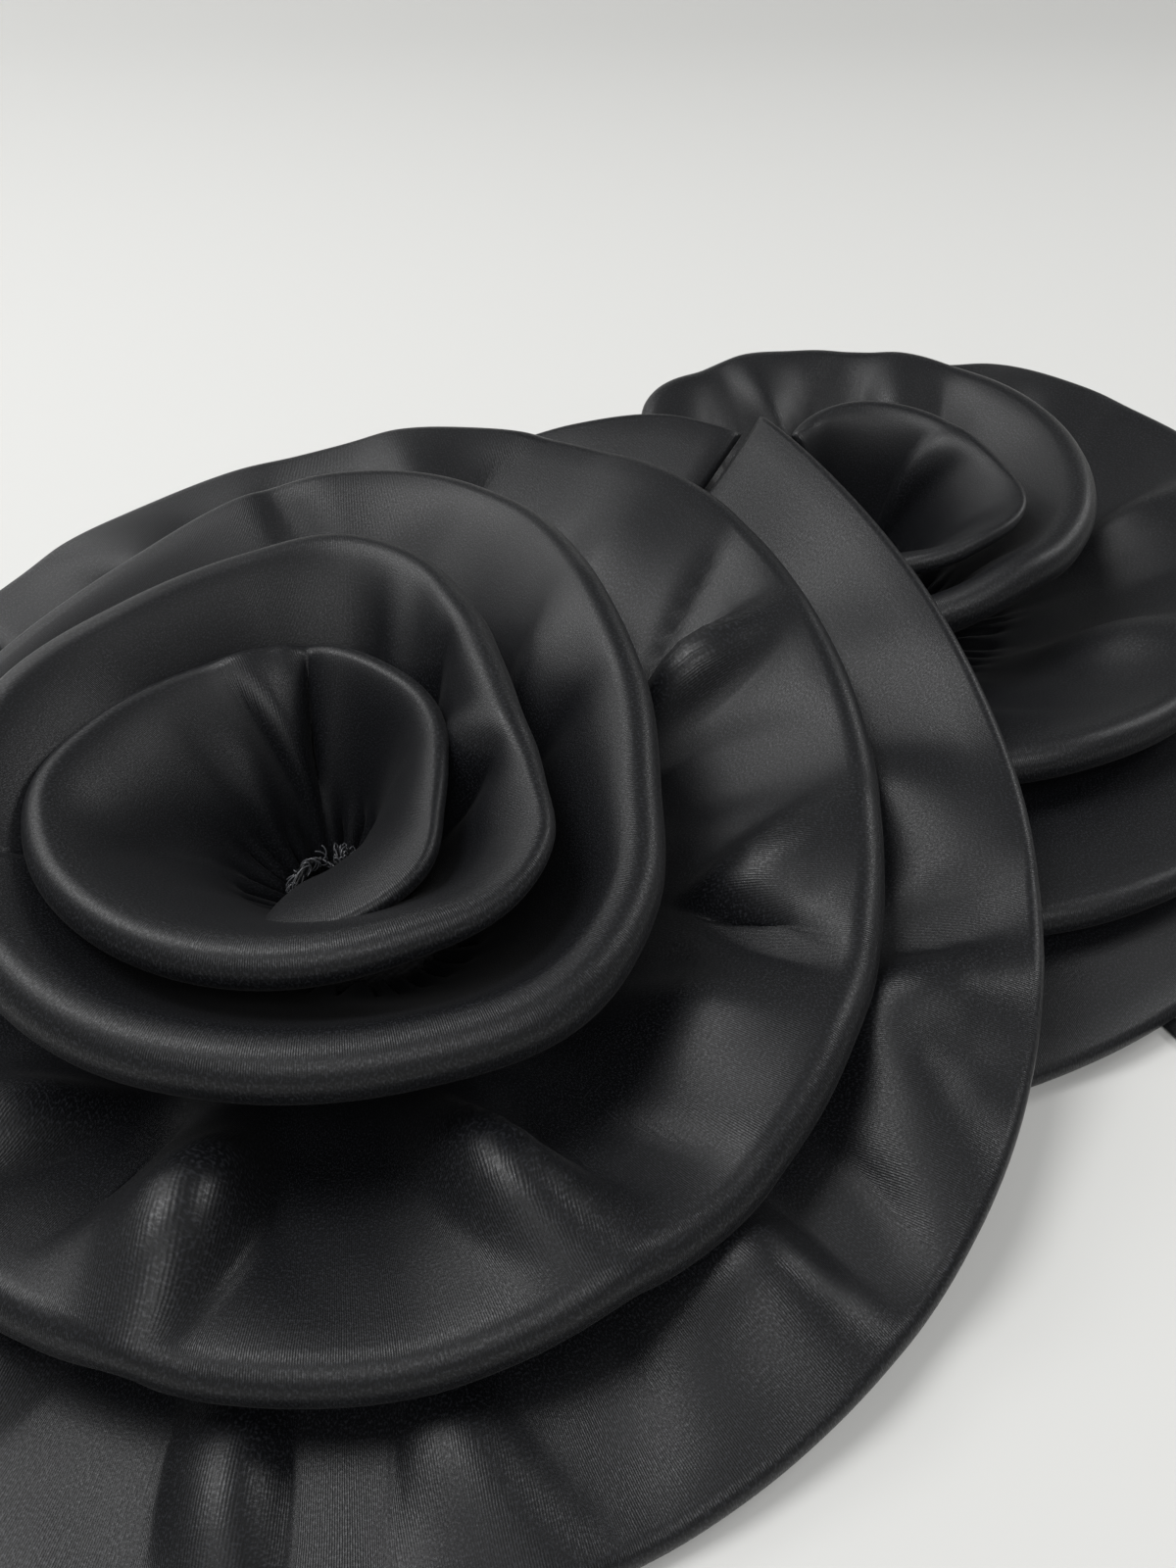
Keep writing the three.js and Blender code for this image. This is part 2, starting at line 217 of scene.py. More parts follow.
class Strip:
    """One length of doubled ruffle.

    width: finished width of the doubled strip, millimetres.
    stations: (plan angle, rim radius, rim height, shoulder lift, roll radius), millimetres.
    seam: degrees along the seam's spiral at a plan angle.
    pleat: depth of the soft pleats between seam and rim, millimetres.
    folds: (plan angle, half width in degrees, where across 0 seam to 1 rim, reach across, rise in mm).
    span: the plan angles that this length runs between. sewn: whether each end is sewn to the next length.
    sink: the most that a pleat or fold may go down towards the strip beneath, millimetres.
    covered: how far across the strip above lies on it, 0 seam to 1 rim; there it is pressed flatter.
    sag: how far the covered part drops past the backing, millimetres.
    """

    def __init__(self, name, width, centre, stations, seam, pleat, folds=(), span=None, sewn=(False, False),
                 mirrored=False, sink=1.6, covered=0, sag=0):
        self.name = name
        self.width = width
        self.centre = centre
        self.stations = stations
        self.seam = seam
        self.pleat = pleat
        self.folds = folds
        self.span = span or (stations[0][0], stations[-1][0])
        self.sewn = sewn
        self.side = -1 if mirrored else 1
        self.sink = sink
        self.covered = covered
        self.sag = sag

    def columns(self, step):
        """Plan angle and distance along the rim, millimetres, of columns spaced evenly along the rim."""
        fine = np.linspace(self.stations[0][0], self.stations[-1][0], 4000)
        rim = self.polar(fine, through(fine, self.stations, 1), through(fine, self.stations, 2))
        run = np.concatenate([[0], np.cumsum(np.linalg.norm(np.diff(rim, axis=0), axis=1))])
        order = slice(None) if fine[0] < fine[-1] else slice(None, None, -1)
        first, last = np.interp(self.span, fine[order], run[order])
        self.length = float(last - first) * MM
        even = np.linspace(first, last, max(60, round((last - first) / step)) + 1)
        return np.interp(even, run, fine), even

    @staticmethod
    def polar(angle, radius, height):
        turn = np.radians(angle)
        return np.stack([radius * np.cos(turn), radius * np.sin(turn), height + 0 * radius], axis=-1)

    def middle(self, angle, across, ruffle):
        """The middle of the doubled strip, millimetres: one row of points for each value of across."""
        outer, height, lift = (through(angle, self.stations, column) for column in (1, 2, 3))
        inner = (ruffle.seam_start + ruffle.seam_pitch * self.seam(angle) / 360) / MM
        base = SEAM_LEVEL / MM
        climb = height - base
        p0 = self.polar(angle, inner, base + 0 * angle)
        p1 = self.polar(angle, inner, base + np.maximum(5, climb * 0.5 + lift))
        p2 = self.polar(angle, outer - (outer - inner) * 0.4, height + lift)
        p3 = self.polar(angle, outer, height)
        t = across[None, :, None]
        return ((1 - t) ** 3 * p0[:, None] + 3 * (1 - t) ** 2 * t * p1[:, None]
                + 3 * (1 - t) * t**2 * p2[:, None] + t**3 * p3[:, None])

    def creases(self, angle, run, across, ruffle, seed):
        """How far the strip rises towards its upper, inner face with its gathers and folds, millimetres."""
        a, r, t = angle[:, None], run[:, None], across[None, :]
        pleats = np.sin(2 * math.pi * r / 11 + 1.6 * wavy(r, seed, 17.0))
        gathers = pleats * (0.8 + 0.3 * wavy(r, seed + 2, 30.0)) * (ruffle.gather_depth / MM) * (
            1 - fade(t, 0.05, 0.42))
        slanting = r + 5 * wavy(r, seed + 3, 60.0) * t
        total = self.pleat * wavy(slanting, seed + 1, 38.0) * fade(t, 0.0, 0.3) * (1 - fade(t, 0.6, 1.0))
        for place, half, where, reach, rise in self.folds:
            lean = FOLD_LEAN * half * math.sin(place) * (t - where) / reach
            steep = np.where(a + lean > place, STEEP_SIDE, EASY_SIDE)
            leaning = place + (a + lean - place) * steep
            total = total + rise * bump(leaning, place, half) * bump(t, where, reach)
        total = np.where(total < 0, self.sink * np.tanh(total / self.sink), total)
        if self.covered:
            pressed = 1 - fade(t, self.covered - COVER_EDGE, self.covered + COVER_EDGE)
            total = np.minimum(total, 0) + np.maximum(total, 0) * (1 - PRESS_SHARE * pressed)
            total = total - self.sag * pressed * fade(t, 0.25, 0.42)
        return gathers + total

    def build(self, step, rows, roll_rows, ruffle, seed, cloth):
        angle, run = self.columns(step)
        roll = through(angle, self.stations, 4)[:, None]
        flat = np.linspace(0, 1, rows + 1)
        turn = np.linspace(0, math.pi, roll_rows + 1)[1:-1]
        middle_rows = 48
        t = np.linspace(0, 1, middle_rows + 1)
        points = self.middle(angle, t, ruffle)
        normal = unit(np.cross(np.gradient(points, axis=0), np.gradient(points, axis=1))) * self.side
        points = points - normal * self.creases(angle, run, t, ruffle, seed)[..., None]
        points[..., 2] = np.maximum(points[..., 2], TABLE_GAP + roll)
        onward, outward = np.gradient(points, axis=0), np.gradient(points, axis=1)
        normal = unit(np.cross(onward, outward)) * self.side
        outward = unit(outward)

        def at(values, across):
            place = np.clip(across, 0, 1) * middle_rows
            i = np.minimum(place.astype(int), middle_rows - 1)
            f = (place - i)[..., None]
            return (1 - f) * np.take_along_axis(values, i[..., None], 1) + f * np.take_along_axis(
                values, i[..., None] + 1, 1)

        closing = np.ones_like(roll)
        for distance, sewn in zip((run - run[0], run[-1] - run), self.sewn):
            if not sewn:
                closing = closing * np.sqrt(np.clip(distance[:, None] / 5, 0, 1))
        shoulder = 1 - roll / self.width
        sheet, v = [], []
        for side, shares in ((1, flat), (-1, flat[::-1])):
            share = np.broadcast_to(shares[None, :], (len(angle), rows + 1))
            across = share * shoulder
            gap = (0.5 + (roll - 0.5) * fade(share, 0.25, 1.0) ** 1.3) * closing
            sheet.append(at(points, across) + side * gap[..., None] * at(normal, across))
            v.append(across if side > 0 else 2 - across)
            if side > 0:
                centre, up, out = at(points, shoulder), at(normal, shoulder), at(outward, shoulder)
                sheet.append(centre + (roll * closing)[..., None] * np.cos(turn)[None, :, None] * up
                             + roll[..., None] * np.sin(turn)[None, :, None] * out)
                v.append(shoulder + (2 - 2 * shoulder) * (turn / math.pi)[None, :])
        grid = np.concatenate(sheet, axis=1) * MM + self.centre
        uv = np.stack(np.broadcast_arrays(run[:, None] * MM, np.concatenate(v, axis=1) * self.width * MM), -1)
        return cloth_piece(self.name, grid, uv, cloth)


def cloth_piece(name, grid, uv, cloth):
    """A sheet of satin from a grid of points, with its place on the flat cloth, in metres, as its UV map."""
    columns, rows = grid.shape[0] - 1, grid.shape[1] - 1
    bm = bmesh.new()
    bmesh.ops.create_grid(bm, x_segments=columns, y_segments=rows, size=0.5)
    places = {}
    for vert in bm.verts:
        i = round((vert.co.x + 0.5) * columns)
        j = round((vert.co.y + 0.5) * rows)
        places[vert] = (i, j)
    for vert, (i, j) in places.items():
        vert.co = grid[i, j]
    layer = bm.loops.layers.uv.new("UVMap")
    for face in bm.faces:
        for loop in face.loops:
            loop[layer].uv = uv[places[loop.vert]]
    mesh = bpy.data.meshes.new(name)
    bm.to_mesh(mesh)
    bm.free()
    mesh.shade_smooth()
    piece = bpy.data.objects.new(name, mesh)
    bpy.context.scene.collection.objects.link(piece)
    body = piece.modifiers.new("Cloth body", "SOLIDIFY")
    body.thickness = cloth
    body.offset = 0
    return piece


# ---------------------------------------------------------------- the ruffles of both rosettes
# Stations: plan angle, rim radius, rim height, shoulder lift, roll radius. Folds: plan angle, half width in
# degrees, place across from seam to rim, reach across, depth. Millimetres and degrees.

FRONT_COIL = [
    (-96, 44, 44, 0, 1.3), (-75, 41, 46, 0, 1.4), (-54, 37, 49, -1, 1.6), (-38, 29, 51, -2, 1.7),
    (-20, 24, 52, -3, 1.7), (5, 21.5, 52, -4, 1.8), (30, 21, 52, -5, 1.9), (60, 22, 52, -5, 2.0),
    (100, 27, 52.5, -6, 2.1), (143, 31, 52.5, -6, 2.2), (176, 40, 52.5, -6, 2.5), (195, 47, 52, -7, 2.9),
    (214, 50, 51.5, -8, 3.3), (240, 52, 50, -8, 3.7),
    (270, 52, 49, -8, 3.9), (295, 52, 50, -7, 3.3), (312, 53, 51, -5, 2.4), (326, 50, 53, -5, 2.0),
    (340, 42, 54, -3, 2.4), (358, 35, 56, -3, 3.3), (382, 33, 58, -6, 3.6), (413, 39, 60, -7, 3.6),
    (432, 47, 61, -7, 3.4), (452, 52, 62, -7, 3.3), (475, 48, 62, -7, 3.3), (505, 48, 61, -7, 3.4),
    (535, 57, 58, -8, 3.9), (570, 63, 52, -11, 4.5), (600, 66, 46, -15, 5.2), (625, 66, 44, -17, 5.2),
    (650, 67, 43, -17, 5.2),
    (672, 70, 44, -15, 5.2), (690, 66, 46, -12, 4.6), (710, 59, 49, -9, 4.3), (729, 58, 53, -9, 4.1),
    (748, 60, 57, -9, 3.9), (766, 66, 60, -9, 3.6), (785, 76, 61, -9, 3.0), (807, 83, 61, -9, 2.7),
    (822, 80, 61, -9, 2.4), (850, 72, 55, -9, 2.7), (890, 76, 44, -7, 3.3),
    (930, 85, 31, -4, 3.9), (965, 96, 22, -2, 4.5), (1000, 102, 19, -1, 4.5),
    (1040, 103, 24, -5, 4.5), (1080, 102, 36, -10, 4.5), (1105, 107, 46, -13, 4.2), (1130, 116, 54, -13, 3.4),
    (1155, 120, 56, -12, 3.1), (1185, 111, 52, -10, 2.8), (1213, 105, 44, -6, 2.5), (1228, 104, 39, -4, 2.0),
]
FRONT_OUTER = [
    (54, 146, 55, -18, 1.8), (62, 143, 56, -18, 2.4), (70, 133, 54, -18, 2.7), (79, 123, 48, -14, 2.7),
    (94, 118, 36, -8, 2.7), (115, 118, 27, -3, 2.7), (140, 120, 20, 3, 2.7), (170, 121, 12, 4, 2.7),
    (200, 121, 8, 4, 2.7), (235, 124, 4, 4, 2.7), (270, 126, 3.5, 4, 2.7), (305, 128, 4.5, 4, 2.4),
    (335, 130, 16, -2, 2.1), (360, 130, 32, -11, 2.0), (382, 131, 47, -19, 1.8), (400, 137, 57, -24, 1.8),
    (412, 146, 61, -25, 1.4),
]
REAR_HEART = [
    (150, 16, 56, -2, 2.1), (90, 18, 59, -2, 2.8), (45, 21, 59, -2, 2.8), (15, 25, 58, -2, 2.5),
    (-10, 32, 56, -2, 2.0), (-33, 40, 54, -2, 1.4), (-65, 37, 49, -2, 2.0), (-105, 30, 41, -2, 2.5),
    (-150, 26, 39, -2, 2.5), (-180, 32, 35, -2, 2.5), (-197, 47, 40, -4, 2.8), (-212, 59, 52, -5, 3.1),
    (-235, 58, 57, -6, 3.4), (-260, 57, 58, -7, 3.4), (-285, 57, 58, -7, 3.4), (-330, 55, 57, -9, 3.9),
    (-360, 54, 54, -11, 4.5), (-385, 53, 51, -12, 4.6), (-405, 51, 48, -12, 4.6), (-435, 46, 41, -10, 4.2),
    (-470, 39, 33, -8, 3.4),
]
REAR_UPPER = [
    (165, 65, 24, -2, 2.5), (140, 73, 32, -5, 2.8), (95, 82, 42, -8, 2.8), (66, 87, 46, -9, 2.8),
    (45, 96, 46, -9, 3.1), (22, 104, 42, -8, 3.4), (0, 101, 38, -7, 3.6), (-25, 94, 33, -6, 4.2),
    (-50, 91, 31, -5, 4.4), (-70, 88, 29, -5, 4.2), (-88, 82, 25, -4, 3.6),
]
REAR_LOWER = [
    (152, 96, 14, 3, 2.8), (125, 100, 17, 3, 2.8), (90, 107, 19, 2, 2.8), (50, 112, 20, 2, 2.8),
    (10, 116, 20, 2, 3.1), (-30, 117, 19, 2, 3.4), (-60, 117, 17, 2, 3.4), (-75, 117, 15, 2, 3.4),
    (-92, 114, 13, 2, 3.1),
]
REAR_OUTER = [
    (152, 121, 3.4, 3, 2.5), (125, 125, 3.4, 3, 2.5), (90, 127, 3.4, 3, 2.5), (45, 130, 3.4, 3, 2.5),
    (0, 131, 3.6, 3, 2.2), (-40, 131, 4.8, 2, 2.0), (-65, 132, 4.8, 2, 2.0), (-78, 139, 4.6, 2, 2.0),
    (-88, 145, 3.6, 2, 2.0),
]


LAPPED_SEAM_RATE = 0.5
FRONT_OUTER_START = 54
FRONT_OUTER_SEAM = 1345
REAR_START = 150


def own_spiral(angle):
    """The front coil's seam turns with its rim."""
    return angle


def front_outer_seam(angle):
    """The outer strip's seam laps at half the rate of its rim."""
    return FRONT_OUTER_SEAM + (angle - FRONT_OUTER_START) * LAPPED_SEAM_RATE


def rear_heart_seam(angle):
    """The rear heart winds clockwise from its start."""
    return REAR_START - angle


def rear_seam(first):
    """A lapped rear strip's seam, from where along the spiral it begins."""
    return lambda angle: first + (REAR_START - angle) * LAPPED_SEAM_RATE


FRONT_HEART_FOLDS = [
    (108, 7, 0.7, 0.35, -4), (124, 9, 0.6, 0.4, 3), (160, 12, 0.4, 0.25, 3), (200, 16, 0.5, 0.3, -3),
    (345, 8, 0.62, 0.25, -4), (372, 12, 0.55, 0.25, 3), (405, 9, 0.6, 0.25, -3), (425, 9, 0.55, 0.25, 3),
]
FRONT_MIDDLE_FOLDS = [
    (738, 7, 0.6, 0.25, -3), (752, 8, 0.6, 0.3, 3), (800, 9, 0.6, 0.25, -3), (822, 4, 0.8, 0.16, -4),
    (925, 6, 0.72, 0.18, 7), (942, 5, 0.72, 0.18, -4), (957, 6, 0.72, 0.16, 8), (970, 5, 0.74, 0.18, -5),
    (983, 5, 0.74, 0.16, 11), (998, 7, 0.7, 0.2, -5), (1017, 5, 0.7, 0.18, 10), (1029, 5, 0.74, 0.18, -6),
    (1049, 8, 0.72, 0.18, 5), (1064, 4, 0.76, 0.14, -7), (1073, 6, 0.76, 0.16, 6), (1094, 7, 0.7, 0.2, -4),
    (1109, 3.5, 0.7, 0.15, 11), (1117, 4, 0.74, 0.14, -7), (1134, 9, 0.7, 0.2, 5), (1152, 5, 0.84, 0.13, -9),
    (1166, 6, 0.78, 0.16, 5), (1184, 7, 0.75, 0.18, -5), (1205, 7, 0.75, 0.2, 5),
]
FRONT_OUTER_FOLDS = [
    (100, 8, 0.7, 0.2, 5), (128, 9, 0.7, 0.2, -4), (160, 8, 0.7, 0.2, 5), (215, 8, 0.7, 0.2, 5),
    (232, 6, 0.75, 0.18, -5), (247, 7, 0.75, 0.18, 6), (262, 5, 0.76, 0.18, -4), (270, 5, 0.78, 0.18, 6),
    (279, 4, 0.78, 0.18, -7), (287, 5, 0.76, 0.2, 5), (298, 6, 0.76, 0.18, -4), (314, 5, 0.78, 0.14, 7),
    (323, 5, 0.8, 0.14, -7), (335, 6, 0.8, 0.15, 5), (343, 5, 0.82, 0.13, 7), (351, 4, 0.82, 0.12, -7),
    (365, 8, 0.8, 0.15, 4), (378, 7, 0.8, 0.15, -3),
]
REAR_HEART_FOLDS = [
    (20, 10, 0.6, 0.3, 3), (-60, 10, 0.6, 0.3, -3), (-225, 9, 0.65, 0.25, -4), (-245, 9, 0.65, 0.25, 4),
    (-268, 9, 0.65, 0.25, -4), (-292, 9, 0.65, 0.25, 4), (-315, 9, 0.6, 0.25, -3), (-400, 12, 0.6, 0.3, 3),
]
REAR_UPPER_FOLDS = [
    (118, 9, 0.7, 0.22, -5), (96, 9, 0.7, 0.22, 5), (70, 8, 0.7, 0.22, -5), (48, 9, 0.7, 0.22, 6),
    (24, 7, 0.7, 0.2, -6), (6, 7, 0.7, 0.2, 7), (-14, 7, 0.72, 0.2, -6), (-34, 8, 0.72, 0.2, 6),
    (-58, 9, 0.7, 0.2, -4),
]
REAR_LOWER_FOLDS = [
    (70, 9, 0.75, 0.2, 5), (40, 9, 0.75, 0.2, -4), (10, 8, 0.75, 0.2, 6), (-12, 7, 0.76, 0.18, -5),
    (-30, 7, 0.76, 0.18, 6), (-50, 8, 0.76, 0.18, -4),
]

FRONT_STRIPS = [
    Strip("front_heart_satin", 60, FRONT, FRONT_COIL, own_spiral, 1.2, FRONT_HEART_FOLDS,
          span=(-96, 571), sewn=(False, True), sink=8),
    Strip("front_middle_satin", 77, FRONT, FRONT_COIL, own_spiral, 1.8, FRONT_MIDDLE_FOLDS,
          span=(571, 1228), sewn=(True, False)),
    Strip("front_outer_satin", 88, FRONT, FRONT_OUTER, front_outer_seam, 3.0,
          FRONT_OUTER_FOLDS, covered=0.66, sag=2.6),
]
REAR_STRIPS = [
    Strip("rear_heart_satin", 58, REAR, REAR_HEART, rear_heart_seam, 1.5, REAR_HEART_FOLDS,
          mirrored=True),
    Strip("rear_upper_satin", 70, REAR, REAR_UPPER, rear_seam(760), 2.5,
          REAR_UPPER_FOLDS, mirrored=True, covered=0.35),
    Strip("rear_lower_satin", 80, REAR, REAR_LOWER, rear_seam(1080), 2.5,
          REAR_LOWER_FOLDS, mirrored=True, sink=0.6, covered=0.55),
    Strip("rear_outer_satin", 86, REAR, REAR_OUTER, rear_seam(1380), 2.0, mirrored=True, covered=0.65),
]


def build_strips(strips):
    settings = bpy.context.scene.boa_ruffle
    satin = bpy.context.scene.boa_satin
    for number, strip in enumerate(strips):
        piece = strip.build(1.6, 20, 9, settings, settings.seed + 10 * number, satin.cloth)
        piece.data.materials.append(satin_material(satin))
        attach(piece, "rosettes")
        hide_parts(strip.name.replace("satin", "ruffle"))


# ---------------------------------------------------------------- finishes

def new_material(name):
    material = bpy.data.materials.new(name)
    material.use_nodes = True
    material.node_tree.nodes.clear()
    shader = material.node_tree.nodes.new("ShaderNodeBsdfPrincipled")
    output = material.node_tree.nodes.new("ShaderNodeOutputMaterial")
    material.node_tree.links.new(shader.outputs[0], output.inputs[0])
    return material, material.node_tree, shader


def satin_weave_group():
    """Ribs across the strip and the fine sparkle of the floats: masks and a height."""
    name = "Satin weave"
    if name in bpy.data.node_groups:
        return bpy.data.node_groups[name]
    group = bpy.data.node_groups.new(name, "ShaderNodeTree")
    sockets = group.interface
    sockets.new_socket("Vector", in_out="INPUT", socket_type="NodeSocketVector")
    sockets.new_socket("Rib spacing", in_out="INPUT", socket_type="NodeSocketFloat").default_value = 0.00037
    for label in ("Rib", "Sparkle"):
        sockets.new_socket(label, in_out="OUTPUT", socket_type="NodeSocketFloat")
    nodes, links = group.nodes, group.links
    given = nodes.new("NodeGroupInput")
    result = nodes.new("NodeGroupOutput")
    split = nodes.new("ShaderNodeSeparateXYZ")
    links.new(given.outputs["Vector"], split.inputs[0])
    turns = nodes.new("ShaderNodeMath")
    turns.operation = "DIVIDE"
    links.new(split.outputs[0], turns.inputs[0])
    links.new(given.outputs["Rib spacing"], turns.inputs[1])
    phase = nodes.new("ShaderNodeMath")
    phase.operation = "MULTIPLY"
    phase.inputs[1].default_value = 2 * math.pi
    links.new(turns.outputs[0], phase.inputs[0])
    wave = nodes.new("ShaderNodeMath")
    wave.operation = "SINE"
    links.new(phase.outputs[0], wave.inputs[0])
    floats = nodes.new("ShaderNodeTexNoise")
    floats.inputs["Scale"].default_value = 2600
    floats.inputs["Detail"].default_value = 1
    links.new(given.outputs["Vector"], floats.inputs["Vector"])
    links.new(wave.outputs[0], result.inputs["Rib"])
    links.new(floats.outputs["Fac"], result.inputs["Sparkle"])
    return group


def satin_material(look):
    name = "Black satin"
    if name in bpy.data.materials:
        return bpy.data.materials[name]
    material, tree, shader = new_material(name)
    links = tree.links
    place = tree.nodes.new("ShaderNodeUVMap")
    place.uv_map = "UVMap"
    weave = tree.nodes.new("ShaderNodeGroup")
    weave.node_tree = satin_weave_group()
    weave.inputs["Rib spacing"].default_value = look.rib
    links.new(place.outputs[0], weave.inputs["Vector"])
    # Painted glint: the sparkle mask lightens the base colour towards the float colour in fine specks. The
    # same mask also lowers the roughness there, and that part is real gloss.
    colour = tree.nodes.new("ShaderNodeMix")
    colour.data_type = "RGBA"
    colour.inputs["A"].default_value = (*look.colour, 1)
    colour.inputs["B"].default_value = (*look.float_glint_colour, 1)
    painted_glint_mask = tree.nodes.new("ShaderNodeMapRange")
    painted_glint_mask.inputs["From Min"].default_value = 0.48
    painted_glint_mask.inputs["From Max"].default_value = 0.72
    links.new(weave.outputs["Sparkle"], painted_glint_mask.inputs["Value"])
    links.new(painted_glint_mask.outputs[0], colour.inputs["Factor"])
    links.new(colour.outputs["Result"], shader.inputs["Base Color"])
    rough = tree.nodes.new("ShaderNodeMapRange")
    rough.inputs["From Min"].default_value = 0.3
    rough.inputs["From Max"].default_value = 0.7
    rough.inputs["To Min"].default_value = 0.48
    rough.inputs["To Max"].default_value = 0.34
    links.new(weave.outputs["Sparkle"], rough.inputs["Value"])
    links.new(rough.outputs[0], shader.inputs["Roughness"])
    height = tree.nodes.new("ShaderNodeMath")
    height.operation = "MULTIPLY_ADD"
    height.inputs[1].default_value = 0.3
    links.new(weave.outputs["Rib"], height.inputs[0])
    links.new(weave.outputs["Sparkle"], height.inputs[2])
    relief = tree.nodes.new("ShaderNodeBump")
    relief.inputs["Strength"].default_value = 0.4
    relief.inputs["Distance"].default_value = 0.00009
    links.new(height.outputs[0], relief.inputs["Height"])
    links.new(relief.outputs[0], shader.inputs["Normal"])
    shader.inputs["Specular IOR Level"].default_value = 0.34
    shader.inputs["Sheen Weight"].default_value = 0.02
    shader.inputs["Sheen Roughness"].default_value = 0.4
    return material


def plain_weave_group():
    """Plain weave over and under on two axes of the cloth: a height, and a slub noise."""
    name = "Plain weave"
    if name in bpy.data.node_groups:
        return bpy.data.node_groups[name]
    group = bpy.data.node_groups.new(name, "ShaderNodeTree")
    sockets = group.interface
    sockets.new_socket("Vector", in_out="INPUT", socket_type="NodeSocketVector")
    sockets.new_socket("Pitch", in_out="INPUT", socket_type="NodeSocketFloat").default_value = 0.0005
    for label in ("Height", "Slub"):
        sockets.new_socket(label, in_out="OUTPUT", socket_type="NodeSocketFloat")
    nodes, links = group.nodes, group.links
    given, result = nodes.new("NodeGroupInput"), nodes.new("NodeGroupOutput")
    split = nodes.new("ShaderNodeSeparateXYZ")
    links.new(given.outputs["Vector"], split.inputs[0])
    waves = []
    for axis in (0, 1):
        turns = nodes.new("ShaderNodeMath")
        turns.operation = "DIVIDE"
        links.new(split.outputs[axis], turns.inputs[0])
        links.new(given.outputs["Pitch"], turns.inputs[1])
        phase = nodes.new("ShaderNodeMath")
        phase.operation = "MULTIPLY"
        phase.inputs[1].default_value = math.pi
        links.new(turns.outputs[0], phase.inputs[0])
        wave = nodes.new("ShaderNodeMath")
        wave.operation = "SINE"
        links.new(phase.outputs[0], wave.inputs[0])
        waves.append(wave)
    over = nodes.new("ShaderNodeMath")
    over.operation = "MULTIPLY"
    links.new(waves[0].outputs[0], over.inputs[0])
    links.new(waves[1].outputs[0], over.inputs[1])
    slub = nodes.new("ShaderNodeTexNoise")
    slub.inputs["Scale"].default_value = 350
    links.new(given.outputs["Vector"], slub.inputs["Vector"])
    links.new(over.outputs[0], result.inputs["Height"])
    links.new(slub.outputs["Fac"], result.inputs["Slub"])
    return group


def woven_material(name, colour, pitch, roughness, relief_depth):
    if name in bpy.data.materials:
        return bpy.data.materials[name]
    material, tree, shader = new_material(name)
    links = tree.links
    place = tree.nodes.new("ShaderNodeTexCoord")
    weave = tree.nodes.new("ShaderNodeGroup")
    weave.node_tree = plain_weave_group()
    weave.inputs["Pitch"].default_value = pitch
    links.new(place.outputs["Object"], weave.inputs["Vector"])
    blend = tree.nodes.new("ShaderNodeMix")
    blend.data_type = "RGBA"
    blend.inputs["A"].default_value = (*(0.6 * part for part in colour), 1)
    blend.inputs["B"].default_value = (*(1.4 * part for part in colour), 1)
    links.new(weave.outputs["Slub"], blend.inputs["Factor"])
    links.new(blend.outputs["Result"], shader.inputs["Base Color"])
    relief = tree.nodes.new("ShaderNodeBump")
    relief.inputs["Strength"].default_value = 0.6
    relief.inputs["Distance"].default_value = relief_depth
    links.new(weave.outputs["Height"], relief.inputs["Height"])
    links.new(relief.outputs[0], shader.inputs["Normal"])
    shader.inputs["Roughness"].default_value = roughness
    return material


def lining_material(look):
    return woven_material("Backing lining", look.lining_colour, 0.00035, 0.7, 0.00005)


def buckram_material(look):
    return woven_material("Buckram", [1.6 * part for part in look.lining_colour], 0.0009, 0.85, 0.0002)


def thread_material(look):
    name = "Sewing thread"
    if name in bpy.data.materials:
        return bpy.data.materials[name]
    material, tree, shader = new_material(name)
    links = tree.links
    place = tree.nodes.new("ShaderNodeTexCoord")
    fibres = tree.nodes.new("ShaderNodeTexNoise")
    fibres.inputs["Scale"].default_value = 6000
    fibres.inputs["Detail"].default_value = 2
    links.new(place.outputs["Object"], fibres.inputs["Vector"])
    glint = tree.nodes.new("ShaderNodeMix")
    glint.data_type = "RGBA"
    glint.inputs["A"].default_value = (*(0.4 * part for part in look.thread_colour), 1)
    glint.inputs["B"].default_value = (*(2.5 * part for part in look.thread_colour), 1)
    links.new(fibres.outputs["Fac"], glint.inputs["Factor"])
    links.new(glint.outputs["Result"], shader.inputs["Base Color"])
    relief = tree.nodes.new("ShaderNodeBump")
    relief.inputs["Strength"].default_value = 0.5
    relief.inputs["Distance"].default_value = 0.00003
    links.new(fibres.outputs["Fac"], relief.inputs["Height"])
    links.new(relief.outputs[0], shader.inputs["Normal"])
    shader.inputs["Roughness"].default_value = 0.28
    shader.inputs["Specular IOR Level"].default_value = 0.8
    return material


def floor_material(stage):
    material, _, shader = new_material("Studio paper")
    shader.inputs["Base Color"].default_value = (*stage.floor_colour, 1)
    shader.inputs["Roughness"].default_value = 0.9
    return material


# ---------------------------------------------------------------- operators

class BOA_OT_camera(bpy.types.Operator):
    """Place the camera"""
    bl_idname = "boa.camera"
    bl_label = "Camera"

    def execute(self, context):
        stage = context.scene.boa_stage
        data = bpy.data.cameras.new("Camera")
        data.lens = stage.lens
        data.clip_start = 0.005
        camera = bpy.data.objects.new("Camera", data)
        camera.location = stage.position
        camera.rotation_euler = (math.pi / 2 - stage.pitch, 0, 0)
        context.scene.collection.objects.link(camera)
        context.scene.camera = camera
        return {"FINISHED"}


class BOA_OT_front_rosette(bpy.types.Operator):
    """Coil the ruffles of the front rosette"""
    bl_idname = "boa.front_rosette"
    bl_label = "Front rosette"

    def execute(self, context):
        build_strips(FRONT_STRIPS)
        return {"FINISHED"}


class BOA_OT_rear_rosette(bpy.types.Operator):
    """Coil the ruffles of the rear rosette"""
    bl_idname = "boa.rear_rosette"
    bl_label = "Rear rosette"

    def execute(self, context):
        build_strips(REAR_STRIPS)
        return {"FINISHED"}


